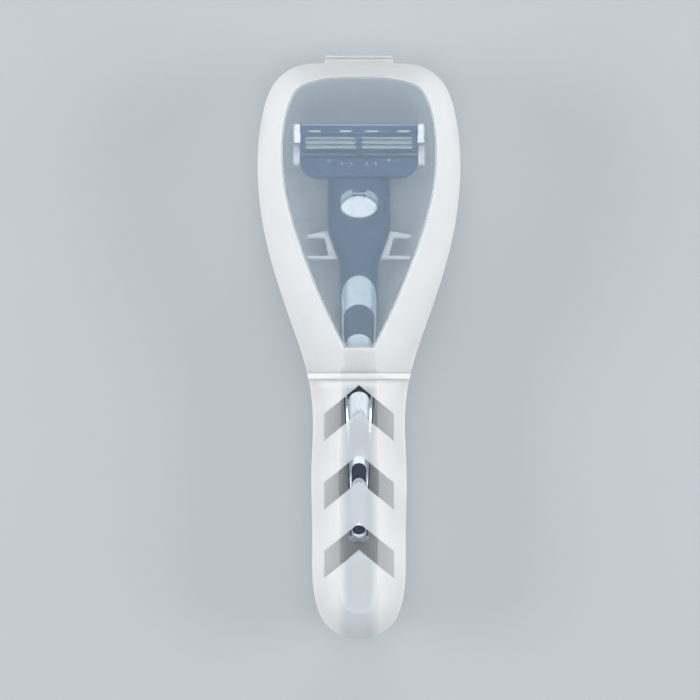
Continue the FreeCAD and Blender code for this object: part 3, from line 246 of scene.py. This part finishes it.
def frosted(name, tint, cover, grain, reach):
    """Polypropylene from a spark-eroded mould: milky and soft-edged, with faint flow clouds and a fine even grain."""
    made, tree, shader, place = finish_of(name)
    clouds = mottle(tree, place, size=22 * MM, low=0.95, high=1.03)
    gloss = mottle(tree, place, size=9 * MM, low=0.36, high=0.5)
    texture = mottle(tree, place, size=grain, low=0.0, high=1.0)
    tree.links.new(shaded(tree, tint, clouds), shader.inputs["Base Color"])
    tree.links.new(gloss, shader.inputs["Roughness"])
    relief(tree, shader, texture, depth=0.006 * MM, edge=0.4 * MM)
    shader.inputs["IOR"].default_value = POLYPROPYLENE_IOR
    shader.inputs["Alpha"].default_value = cover
    shader.inputs["Subsurface Weight"].default_value = 1.0
    shader.inputs["Subsurface Radius"].default_value = (1.0, 1.0, 1.0)
    shader.inputs["Subsurface Scale"].default_value = reach
    return made


def level_above(tree, place, height):
    """How far a face is level and above a height: 1 on a flat front, 0 on slopes and walls."""
    high = node(tree, "ShaderNodeMapRange", {
        "Value": node(tree, "ShaderNodeSeparateXYZ", {"Vector": place}).outputs["Z"],
        "From Min": height, "From Max": height + LEVEL_BLUR}).outputs["Result"]
    facing = node(tree, "ShaderNodeSeparateXYZ", {
        "Vector": node(tree, "ShaderNodeTexCoord").outputs["Normal"]}).outputs["Z"]
    level = node(tree, "ShaderNodeMath", {0: facing}, operation="ABSOLUTE").outputs["Value"]
    flat = node(tree, "ShaderNodeMapRange", {"Value": level, "From Min": SLOPE_FACING,
                                             "From Max": FLAT_FACING}).outputs["Result"]
    return node(tree, "ShaderNodeMath", {0: flat, 1: high}, operation="MULTIPLY").outputs["Value"]


def tinted(tree, shader, where, tint):
    """Another base colour on one part of a finish."""
    ground = shader.inputs["Base Color"].links[0].from_socket
    made = node(tree, "ShaderNodeMix", {"Factor": where, COLOUR_A: ground, COLOUR_B: tint}, data_type="RGBA")
    tree.links.new(made.outputs[COLOUR_OUT], shader.inputs["Base Color"])


def sleeve_finish(look):
    """The sleeve's polypropylene: milky on its slopes, thinner haze on the flat strip between the slots, tinted there
    with the plastic's faint blue plus painted shade of the dim inside.
    """
    made = frosted("frosted_polypropylene_front", look.front, look.sleeve_cover_share, look.grain, SLEEVE_GLOW)
    tree = made.node_tree
    place = place_on(tree)
    where = node(tree, "ShaderNodeSeparateXYZ", {"Vector": place})
    below = node(tree, "ShaderNodeMapRange", {"Value": where.outputs["Y"], "From Min": STRIP_TOP,
                                              "From Max": STRIP_FULL}).outputs["Result"]
    aside = node(tree, "ShaderNodeMath", {0: where.outputs["X"]}, operation="ABSOLUTE").outputs["Value"]
    middle = node(tree, "ShaderNodeMapRange", {"Value": aside, "From Min": STRIP_EDGE, "From Max": STRIP_CORE},
                  interpolation_type="SMOOTHSTEP").outputs["Result"]
    strip = node(tree, "ShaderNodeMath", {0: middle, 1: below}, operation="MULTIPLY").outputs["Value"]
    shader = tree.nodes["Principled BSDF"]
    cover = node(tree, "ShaderNodeMix", {"Factor": strip, "A": look.sleeve_cover_share,
                                         "B": look.strip_cover_share})
    tree.links.new(cover.outputs["Result"], shader.inputs["Alpha"])
    # Painted shade: the strip is tinted darker and bluer, as where the dim inside shows through its thin wall.
    tinted(tree, shader, strip, look.strip)
    return made


def back_finish(look):
    """The tray's polypropylene: milky on the walls, hazy along the flat back, nearly clear behind the window."""
    made = frosted("frosted_polypropylene_back", look.back, look.back_cover_share, look.grain, BACK_GLOW)
    tree = made.node_tree
    shader = tree.nodes["Principled BSDF"]
    place = place_on(tree)
    where = node(tree, "ShaderNodeSeparateXYZ", {"Vector": place})
    low = node(tree, "ShaderNodeMapRange", {"Value": where.outputs["Z"], "From Min": BACK_WALL,
                                            "From Max": BACK_FLAT})
    flat = node(tree, "ShaderNodeMapRange", {"Value": where.outputs["Y"], "From Min": HAZE_FROM, "From Max": HAZE_TO,
                                             "To Min": look.floor_cover_share, "To Max": look.clear_back_share})
    cover = node(tree, "ShaderNodeMix", {"Factor": low.outputs["Result"], "A": look.back_cover_share,
                                         "B": flat.outputs["Result"]})
    tree.links.new(cover.outputs["Result"], shader.inputs["Alpha"])
    reach = node(tree, "ShaderNodeMapRange", {"Value": where.outputs["Y"], "From Min": GLOW_FROM, "From Max": GLOW_TO,
                                              "To Min": BACK_GLOW, "To Max": CLEAR_GLOW})
    tree.links.new(reach.outputs["Result"], shader.inputs["Subsurface Scale"])
    return made


def lid_finish(look):
    """The lid's polypropylene: milky on the slopes, polished clear on the flat window, with a painted highlight along
    the window's edge.
    """
    made = frosted("frosted_polypropylene_lid", look.front, look.slope_cover_share, look.grain, LID_GLOW)
    tree = made.node_tree
    shader = tree.nodes["Principled BSDF"]
    place = place_on(tree)
    height = node(tree, "ShaderNodeSeparateXYZ", {"Vector": place}).outputs["Z"]
    pane = level_above(tree, place, PANE_LEVEL)
    # Painted highlight: the slopes hide more just below the window, which draws a light line along its edge.
    edge = node(tree, "ShaderNodeMapRange", {"Value": height, "From Min": EDGE_HIGHLIGHT_FROM, "From Max": EDGE_HIGHLIGHT_TO,
                                             "To Min": look.slope_cover_share,
                                             "To Max": look.edge_highlight_cover_share}).outputs["Result"]
    cover = node(tree, "ShaderNodeMix", {"Factor": pane, "A": edge, "B": look.pane_cover_share})
    tree.links.new(cover.outputs["Result"], shader.inputs["Alpha"])
    tinted(tree, shader, pane, look.pane)
    rough = shader.inputs["Roughness"].links[0].from_socket
    polish = node(tree, "ShaderNodeMix", {"Factor": pane, "A": rough, "B": look.pane_roughness})
    tree.links.new(polish.outputs["Result"], shader.inputs["Roughness"])
    return made


def moulded(name, tint, rough, grain, depth, spread=0.06):
    """Moulded plastic: a satin skin with a fine texture and slight drifts of tone and gloss."""
    made, tree, shader, place = finish_of(name)
    drift = mottle(tree, place, size=7 * MM, low=1 - spread, high=1 + spread)
    gloss = mottle(tree, place, size=4 * MM, low=rough - 0.06, high=rough + 0.06)
    texture = mottle(tree, place, size=grain, low=0.0, high=1.0)
    tree.links.new(shaded(tree, tint, drift), shader.inputs["Base Color"])
    tree.links.new(gloss, shader.inputs["Roughness"])
    relief(tree, shader, texture, depth, edge=0.25 * MM)
    shader.inputs["IOR"].default_value = ABS_IOR
    return made


def rubber(name, tint, pitch, depth):
    """Thermoplastic rubber: a dull sheen along its sides, fine moulded ribs across and a dusty bloom."""
    made, tree, shader, place = finish_of(name)
    bloom = mottle(tree, place, size=2.5 * MM, low=0.85, high=1.25)
    gloss = mottle(tree, place, size=1.5 * MM, low=0.42, high=0.58)
    tree.links.new(shaded(tree, tint, bloom), shader.inputs["Base Color"])
    tree.links.new(gloss, shader.inputs["Roughness"])
    # A sine wave texture of scale pi / 10 has bands one unit apart.
    ribs = node(tree, "ShaderNodeTexWave", {"Vector": place, "Scale": math.pi / 10 / pitch}, wave_type="BANDS",
                bands_direction="Y", wave_profile="SIN")
    relief(tree, shader, ribs.outputs["Fac"], depth, edge=0.3 * MM)
    shader.inputs["IOR"].default_value = RUBBER_IOR
    return made


def plated(name, tint, rough, line, stretch, depth):
    """Metal skin: bright, with fine lines or a haze in the gloss from rolling, polishing or plating."""
    made, tree, shader, place = finish_of(name)
    haze = mottle(tree, place, size=6 * MM, low=0.94, high=1.03)
    gloss = mottle(tree, place, size=line, low=rough * 0.7, high=rough * 1.35, stretch=stretch)
    lines = mottle(tree, place, size=line, low=0.0, high=1.0, stretch=stretch)
    tree.links.new(shaded(tree, tint, haze), shader.inputs["Base Color"])
    tree.links.new(gloss, shader.inputs["Roughness"])
    relief(tree, shader, lines, depth, edge=0.15 * MM)
    shader.inputs["Metallic"].default_value = 1.0
    return made


def wear(finish, *names):
    """Puts a finish on CAD nodes."""
    for name in names:
        slots = frame["nodes"][name].data.materials
        slots.clear()
        slots.append(finish)


def points_of(geometry):
    """The vertices among what a bmesh operator gives back."""
    return [g for g in geometry if isinstance(g, bmesh.types.BMVert)]


def place_piece(name, mesh, finish, body):
    """Turns a bmesh into a piece that rides on a body."""
    bmesh.ops.remove_doubles(mesh, verts=mesh.verts, dist=MERGE)
    bmesh.ops.recalc_face_normals(mesh, faces=mesh.faces)
    data = bpy.data.meshes.new(name)
    mesh.to_mesh(data)
    mesh.free()
    data.materials.append(finish)
    data.shade_smooth()
    data.set_sharp_from_angle(angle=SHARP)
    made = bpy.data.objects.new(name, data)
    bpy.context.scene.collection.objects.link(made)
    if body:
        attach(made, body)
    return made


class RAZORCASE_OT_shells(bpy.types.Operator):
    """Give the tray, the sleeve and the lid their frosted plastic"""
    bl_idname = "razor_case.shells"
    bl_label = "Case shells"

    def execute(self, context):
        look = context.scene.case_look
        wear(back_finish(look), "rear_shell")
        wear(sleeve_finish(look), "sleeve_cover")
        wear(lid_finish(look), "lid")
        return {"FINISHED"}


class RAZORCASE_OT_hinge_strap(bpy.types.Operator):
    """Fold the thin hinge strap between the tray's leaf and the lid's leaf"""
    bl_idname = "razor_case.hinge_strap"
    bl_label = "Hinge strap"

    def execute(self, context):
        look = context.scene.case_look
        low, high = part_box("hinge_film")
        axis = (Vector(low) + Vector(high)) / 2
        outer = (high[2] - low[2]) / 2 - STRAP_SLACK
        back = outer + STRAP_TAIL
        mesh = bmesh.new()
        foot = mesh.verts.new((low[0], axis.y - back, axis.z - outer))
        head = mesh.verts.new((low[0], axis.y - back, axis.z - look.strap_slit))
        edge = mesh.edges.new((foot, head))
        leg = bmesh.ops.extrude_edge_only(mesh, edges=[edge])["geom"]
        bmesh.ops.translate(mesh, vec=(0, back, 0), verts=points_of(leg))
        turned = bmesh.ops.spin(mesh, geom=[g for g in leg if not isinstance(g, bmesh.types.BMFace)], cent=axis,
                                axis=(1, 0, 0), angle=math.pi, steps=FOLD_STEPS, use_merge=False)["geom_last"]
        fold = [g for g in turned if isinstance(g, bmesh.types.BMEdge)]
        leg = bmesh.ops.extrude_edge_only(mesh, edges=fold)["geom"]
        bmesh.ops.translate(mesh, vec=(0, -back, 0), verts=points_of(leg))
        wide = bmesh.ops.extrude_face_region(mesh, geom=mesh.faces[:])["geom"]
        bmesh.ops.translate(mesh, vec=(high[0] - low[0], 0, 0), verts=points_of(wide))
        # Thin moulded polypropylene: as milky as the sleeve.
        finish = frosted("frosted_polypropylene_strap", look.front, look.sleeve_cover_share, look.grain, LID_GLOW)
        made = place_piece("hinge_strap", mesh, finish, None)
        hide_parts("hinge_film")
        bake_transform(made)
        return {"FINISHED"}


class RAZORCASE_OT_lid_rim(bpy.types.Operator):
    """Set the pale rim along the lid's lower edge, which closes the gap to the sleeve"""
    bl_idname = "razor_case.lid_rim"
    bl_label = "Lid rim"

    def execute(self, context):
        look = context.scene.case_look
        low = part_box("lid")[0]
        mesh = bmesh.new()
        mesh.from_mesh(frame["nodes"]["lid"].data)
        bmesh.ops.remove_doubles(mesh, verts=mesh.verts, dist=MERGE)
        bmesh.ops.bisect_plane(mesh, geom=mesh.verts[:] + mesh.edges[:] + mesh.faces[:], dist=MERGE,
                               plane_co=(0, low[1] + look.rim_width, 0), plane_no=(0, 1, 0), clear_outer=True)
        bmesh.ops.holes_fill(mesh, edges=[e for e in mesh.edges if e.is_boundary])
        end = [v for v in mesh.verts if v.co.y < low[1] + MERGE]
        bmesh.ops.translate(mesh, vec=(0, -look.rim_reach, 0), verts=end)
        half = max(v.co.x for v in mesh.verts)
        rise = max(v.co.z for v in mesh.verts) - low[2]
        bmesh.ops.scale(mesh, vec=(1 + look.rim_proud / half, 1, 1 + look.rim_proud / rise), verts=mesh.verts,
                        space=Matrix.Translation((0, 0, -low[2])))
        # The same polypropylene where two walls lie over each other: a paler, denser white.
        finish = frosted("frosted_polypropylene_rim", look.front, look.back_cover_share, look.grain, RIM_GLOW)
        place_piece("lid_rim", mesh, finish, "lid")
        return {"FINISHED"}


class RAZORCASE_OT_handle(bpy.types.Operator):
    """Give the handle, the neck and the parts in it their plastic and metal"""
    bl_idname = "razor_case.handle"
    bl_label = "Handle and button"

    def execute(self, context):
        look = context.scene.razor_look
        # ABS from a lightly textured mould: deep blue with a soft, broad sheen.
        wear(moulded("satin_abs_handle", look.handle, rough=0.36, grain=0.25 * MM, depth=0.004 * MM),
             "handle_core", "neck_cover")
        # Plain moulded acetal: waxy grey, seen only when the cartridge is off.
        wear(moulded("moulded_acetal_mechanism", look.mechanism, rough=0.4, grain=0.4 * MM, depth=0.003 * MM),
             "pusher", "plunger")
        # Metallic paint on ABS: a pale, even silver blue behind the button.
        wear(moulded("painted_abs_bezel", look.bezel, rough=0.3, grain=0.2 * MM, depth=0.002 * MM), "button_bezel")
        # Satin silver plating on ABS: bright with no sharp reflections.
        wear(plated("satin_plated_abs_button", look.button, rough=0.42, line=0.5 * MM, stretch=(1, 1, 1),
                    depth=0.0004 * MM), "release_button")
        return {"FINISHED"}


class RAZORCASE_OT_springs(bpy.types.Operator):
    """Wind the two coil springs in the neck"""
    bl_idname = "razor_case.springs"
    bl_label = "Springs"

    def execute(self, context):
        look = context.scene.razor_look
        # Drawn steel wire: grey and bright along the top of each turn.
        steel = plated("drawn_spring_steel", look.steel, rough=0.28, line=0.1 * MM, stretch=(1, 1, 1),
                       depth=0.001 * MM)
        for name, cad, joint, held in (("button_coil", "button_spring", "button_slide", 1),
                                       ("plunger_coil", "plunger_spring", "plunger_slide", 0)):
            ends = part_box(cad)
            low, high = Vector(ends[0]), Vector(ends[1])
            middle = (low + high) / 2
            run = high.y - low.y - 2 * look.spring_wire
            steps = STEPS_PER_TURN * SPRING_TURNS
            mesh = bmesh.new()
            ring = bmesh.ops.create_circle(mesh, segments=WIRE_SIDES, radius=look.spring_wire)["verts"]
            bmesh.ops.translate(mesh, vec=(high.x - look.spring_wire, low.y + look.spring_wire, middle.z),
                                verts=ring)
            bmesh.ops.spin(mesh, geom=mesh.verts[:] + mesh.edges[:], cent=middle, axis=(0, 1, 0),
                           dvec=(0, run / steps, 0), angle=2 * math.pi * SPRING_TURNS, steps=steps, use_merge=False)
            bmesh.ops.holes_fill(mesh, edges=mesh.edges[:])
            made = place_piece(name, mesh, steel, "case")
            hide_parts(cad)
            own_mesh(made)
        return {"FINISHED"}


class RAZORCASE_OT_grip(bpy.types.Operator):
    """Give the grip its chrome and its rubber"""
    bl_idname = "razor_case.grip"
    bl_label = "Grip"

    def execute(self, context):
        look = context.scene.razor_look
        # Satin chrome over ABS: pale metal with soft reflections drawn out along the handle.
        wear(plated("satin_chromed_abs", look.chrome, rough=0.28, line=1.2 * MM, stretch=(1, 0.4, 1),
                    depth=0.001 * MM), "chrome_spine", "tail_cap")
        # Thermoplastic rubber: dark blue, dull, with fine ribs for the fingers.
        wear(rubber("satin_rubber_grip", look.rubber, pitch=0.9 * MM, depth=0.05 * MM),
             "grip_pad_1", "grip_pad_2", "grip_pad_3", "grip_pad_4", "tail_pad")
        return {"FINISHED"}


class RAZORCASE_OT_connector(bpy.types.Operator):
    """Dress the connector and its arms, and set the small pips along its top"""
    bl_idname = "razor_case.connector"
    bl_label = "Connector"

    def execute(self, context):
        look = context.scene.razor_look
        # Textured ABS: mid blue, a little glossier than the handle.
        wear(moulded("satin_abs_connector", look.frame, rough=0.32, grain=0.25 * MM, depth=0.004 * MM), "connector")
        # White ABS: clean pale ends with a faint gloss.
        wear(moulded("pale_abs_arm", look.arm, rough=0.3, grain=0.25 * MM, depth=0.003 * MM),
             "pivot_arm_left", "pivot_arm_right")
        # Turned steel: fine rings round the pin.
        wear(plated("turned_steel_pin", look.steel, rough=0.25, line=0.2 * MM, stretch=(0.1, 1, 1),
                    depth=0.001 * MM), "pivot_pin_left", "pivot_pin_right")
        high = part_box("connector")[1]
        mesh = bmesh.new()
        for across, back in PIP_PLACES:
            for side in (-1, 1):
                dome = bmesh.ops.create_uvsphere(mesh, u_segments=18, v_segments=10,
                                                 radius=look.pip_radius)["verts"]
                bmesh.ops.scale(mesh, vec=(1, 1, look.pip_height / look.pip_radius), verts=dome)
                bmesh.ops.translate(mesh, vec=(side * across * MM, high[1] - back * MM, high[2]), verts=dome)
        # Pale ABS: small grey-blue dots whose pale colour is a painted highlight, standing in for specks of light.
        pale = moulded("pale_abs_pips_painted_highlight", look.pip_and_bead_highlight, rough=0.3, grain=0.25 * MM, depth=0.003 * MM)
        place_piece("connector_pips", mesh, pale, "yoke")
        return {"FINISHED"}


class RAZORCASE_OT_blade_unit(bpy.types.Operator):
    """Dress the blade frame, the blades, the strips and the end clips"""
    bl_idname = "razor_case.blade_unit"
    bl_label = "Blade unit"

    def execute(self, context):
        look = context.scene.razor_look
        # Textured ABS: the connector's blue, slightly duller.
        wear(moulded("satin_abs_blade_frame", look.frame, rough=0.34, grain=0.25 * MM, depth=0.004 * MM),
             "blade_frame")
        # Ground stainless steel: bright lines with fine scratches along each blade.
        wear(plated("ground_stainless_strip", look.steel, rough=0.3, line=0.12 * MM, stretch=(0.04, 1, 1),
                    depth=0.0006 * MM), "blade_1", "blade_2", "blade_3")
        # Rolled aluminium: pale, with dull lines along the roll.
        wear(plated("rolled_aluminium_clip", look.clip, rough=0.36, line=0.25 * MM, stretch=(1, 0.08, 1),
                    depth=0.001 * MM), "end_clip_left", "end_clip_right")
        # Soft rubber: a ribbed blue band before the blades.
        wear(rubber("soft_rubber_guard", look.guard, pitch=0.6 * MM, depth=0.04 * MM), "guard_strip")
        # Dry porous polymer: chalky, pale and slightly blotchy.
        wear(moulded("porous_polymer_strip", look.strip, rough=0.6, grain=0.2 * MM, depth=0.02 * MM, spread=0.1),
             "lubricating_strip")
        low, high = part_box("blade_frame")
        half = (high[0] - low[0]) / 2 - BEAD_END
        mesh = bmesh.new()
        bead = bmesh.ops.create_uvsphere(mesh, u_segments=16, v_segments=12, radius=look.bead_radius)["verts"]
        bmesh.ops.rotate(mesh, matrix=Matrix.Rotation(math.pi / 2, 3, "Y"), verts=bead)
        for side in (-1, 1):
            end = [v for v in bead if v.co.x * side > MERGE]
            bmesh.ops.translate(mesh, vec=(side * half, 0, 0), verts=end)
        bmesh.ops.translate(mesh, vec=(0, high[1] - BEAD_BACK, high[2] - BEAD_SINK), verts=bead)
        # Pale ABS bead: a painted highlight, one thin light line along the cap where its rounded edge would catch the
        # light.
        pale = moulded("pale_abs_bead_painted_highlight", look.pip_and_bead_highlight, rough=0.3, grain=0.25 * MM, depth=0.003 * MM)
        place_piece("cap_highlight_bead", mesh, pale, "blade_unit")
        return {"FINISHED"}


def lamp(name, size, power, place, aim):
    """A soft rectangular lamp that looks at a point."""
    data = bpy.data.lights.new(name, "AREA")
    data.shape = "RECTANGLE"
    data.size, data.size_y = size
    data.energy = power
    data.spread = LAMP_SPREAD
    made = bpy.data.objects.new(name, data)
    made.location = place
    made.rotation_euler = (Vector(aim) - Vector(place)).to_track_quat("-Z", "Y").to_euler()
    bpy.context.scene.collection.objects.link(made)


class RAZORCASE_OT_stage(bpy.types.Operator):
    """Set up the pale floor, the soft lamps and the camera"""
    bl_idname = "razor_case.stage"
    bl_label = "Stage"

    def execute(self, context):
        look = context.scene.stage_look
        scene = context.scene
        mesh = bmesh.new()
        bmesh.ops.create_grid(mesh, x_segments=1, y_segments=1, size=FLOOR_HALF)
        bmesh.ops.translate(mesh, vec=(0, 0, -FLOOR_DROP), verts=mesh.verts)
        data = bpy.data.meshes.new("floor")
        mesh.to_mesh(data)
        mesh.free()
        floor = bpy.data.objects.new("floor", data)
        # Matt paper: pale, even, with no gloss.
        made, tree, shader, place = finish_of("matt_paper_floor")
        drift = mottle(tree, place, size=120 * MM, low=0.985, high=1.015)
        tree.links.new(shaded(tree, look.floor, drift), shader.inputs["Base Color"])
        shader.inputs["Roughness"].default_value = 0.8
        data.materials.append(made)
        scene.collection.objects.link(floor)
        world = bpy.data.worlds.new("studio")
        world.use_nodes = True
        scene.world = world
        tree = world.node_tree
        # The sky is bright overhead, as under a large soft box, and darker around.
        up = node(tree, "ShaderNodeSeparateXYZ", {"Vector": node(tree, "ShaderNodeTexCoord").outputs["Generated"]})
        high = node(tree, "ShaderNodeMapRange", {"Value": up.outputs["Z"], "From Min": 0.7, "From Max": 0.97},
                    interpolation_type="SMOOTHSTEP").outputs["Result"]
        sky = node(tree, "ShaderNodeMix", {"Factor": high, COLOUR_A: look.horizon, COLOUR_B: look.zenith},
                   data_type="RGBA")
        tree.links.new(sky.outputs[COLOUR_OUT], tree.nodes["Background"].inputs["Color"])
        tree.nodes["Background"].inputs["Strength"].default_value = look.sky_strength
        low, top = CAD_BOX
        aim = (0, 0, (low[2] + top[2]) / 2)
        lamp("front_lamp", size=(0.7, 0.4), power=look.lamp_power, place=(0.0, -0.45, 1.2), aim=aim)
        lamp("top_lamp", size=(0.6, 0.2), power=look.top_power, place=(0.0, 1.0, 0.36), aim=aim)
        lamp("left_lamp", size=(0.8, 0.3), power=look.side_power, place=(-1.0, 0.0, 0.4), aim=aim)
        lamp("right_lamp", size=(0.8, 0.3), power=look.side_power, place=(1.0, 0.0, 0.4), aim=aim)
        lens = bpy.data.cameras.new("camera")
        lens.sensor_width = SENSOR
        lens.lens = SENSOR * look.camera_height / look.frame_width
        lens.clip_start, lens.clip_end = 0.01, 20.0
        camera = bpy.data.objects.new("camera", lens)
        camera.location = (CAMERA_ASIDE, CAMERA_DOWN, look.camera_height + RIM_LEVEL)
        scene.collection.objects.link(camera)
        scene.camera = camera
        scene.view_settings.view_transform = "Standard"
        return {"FINISHED"}


class RAZORCASE_PT_panel(bpy.types.Panel):
    """The steps that dress the razor case"""
    bl_idname = "RAZORCASE_PT_panel"
    bl_label = "Razor case"
    bl_space_type = "VIEW_3D"
    bl_region_type = "UI"
    bl_category = "Razor case"

    def draw(self, context):
        for step in STEPS:
            self.layout.operator(step.bl_idname)
        for group in (context.scene.case_look, context.scene.razor_look, context.scene.stage_look):
            box = self.layout.box()
            for key in group.__annotations__:
                box.prop(group, key)


STEPS = (RAZORCASE_OT_stage, RAZORCASE_OT_shells, RAZORCASE_OT_hinge_strap, RAZORCASE_OT_lid_rim,
         RAZORCASE_OT_handle, RAZORCASE_OT_springs, RAZORCASE_OT_grip, RAZORCASE_OT_connector,
         RAZORCASE_OT_blade_unit)
GROUPS = (CaseLook, RazorLook, StageLook)


def register():
    for kind in (*GROUPS, *STEPS, RAZORCASE_PT_panel):
        bpy.utils.register_class(kind)
    bpy.types.Scene.case_look = PointerProperty(type=CaseLook)
    bpy.types.Scene.razor_look = PointerProperty(type=RazorLook)
    bpy.types.Scene.stage_look = PointerProperty(type=StageLook)


def unregister():
    del bpy.types.Scene.stage_look, bpy.types.Scene.razor_look, bpy.types.Scene.case_look
    for kind in (RAZORCASE_PT_panel, *reversed(STEPS), *reversed(GROUPS)):
        bpy.utils.unregister_class(kind)


def main():
    register()
    bpy.ops.razor_case.stage()
    bpy.ops.razor_case.shells()
    bpy.ops.razor_case.hinge_strap()
    bpy.ops.razor_case.lid_rim()
    bpy.ops.razor_case.handle()
    bpy.ops.razor_case.springs()
    bpy.ops.razor_case.grip()
    bpy.ops.razor_case.connector()
    bpy.ops.razor_case.blade_unit()


if __name__ == "__main__":
    main()
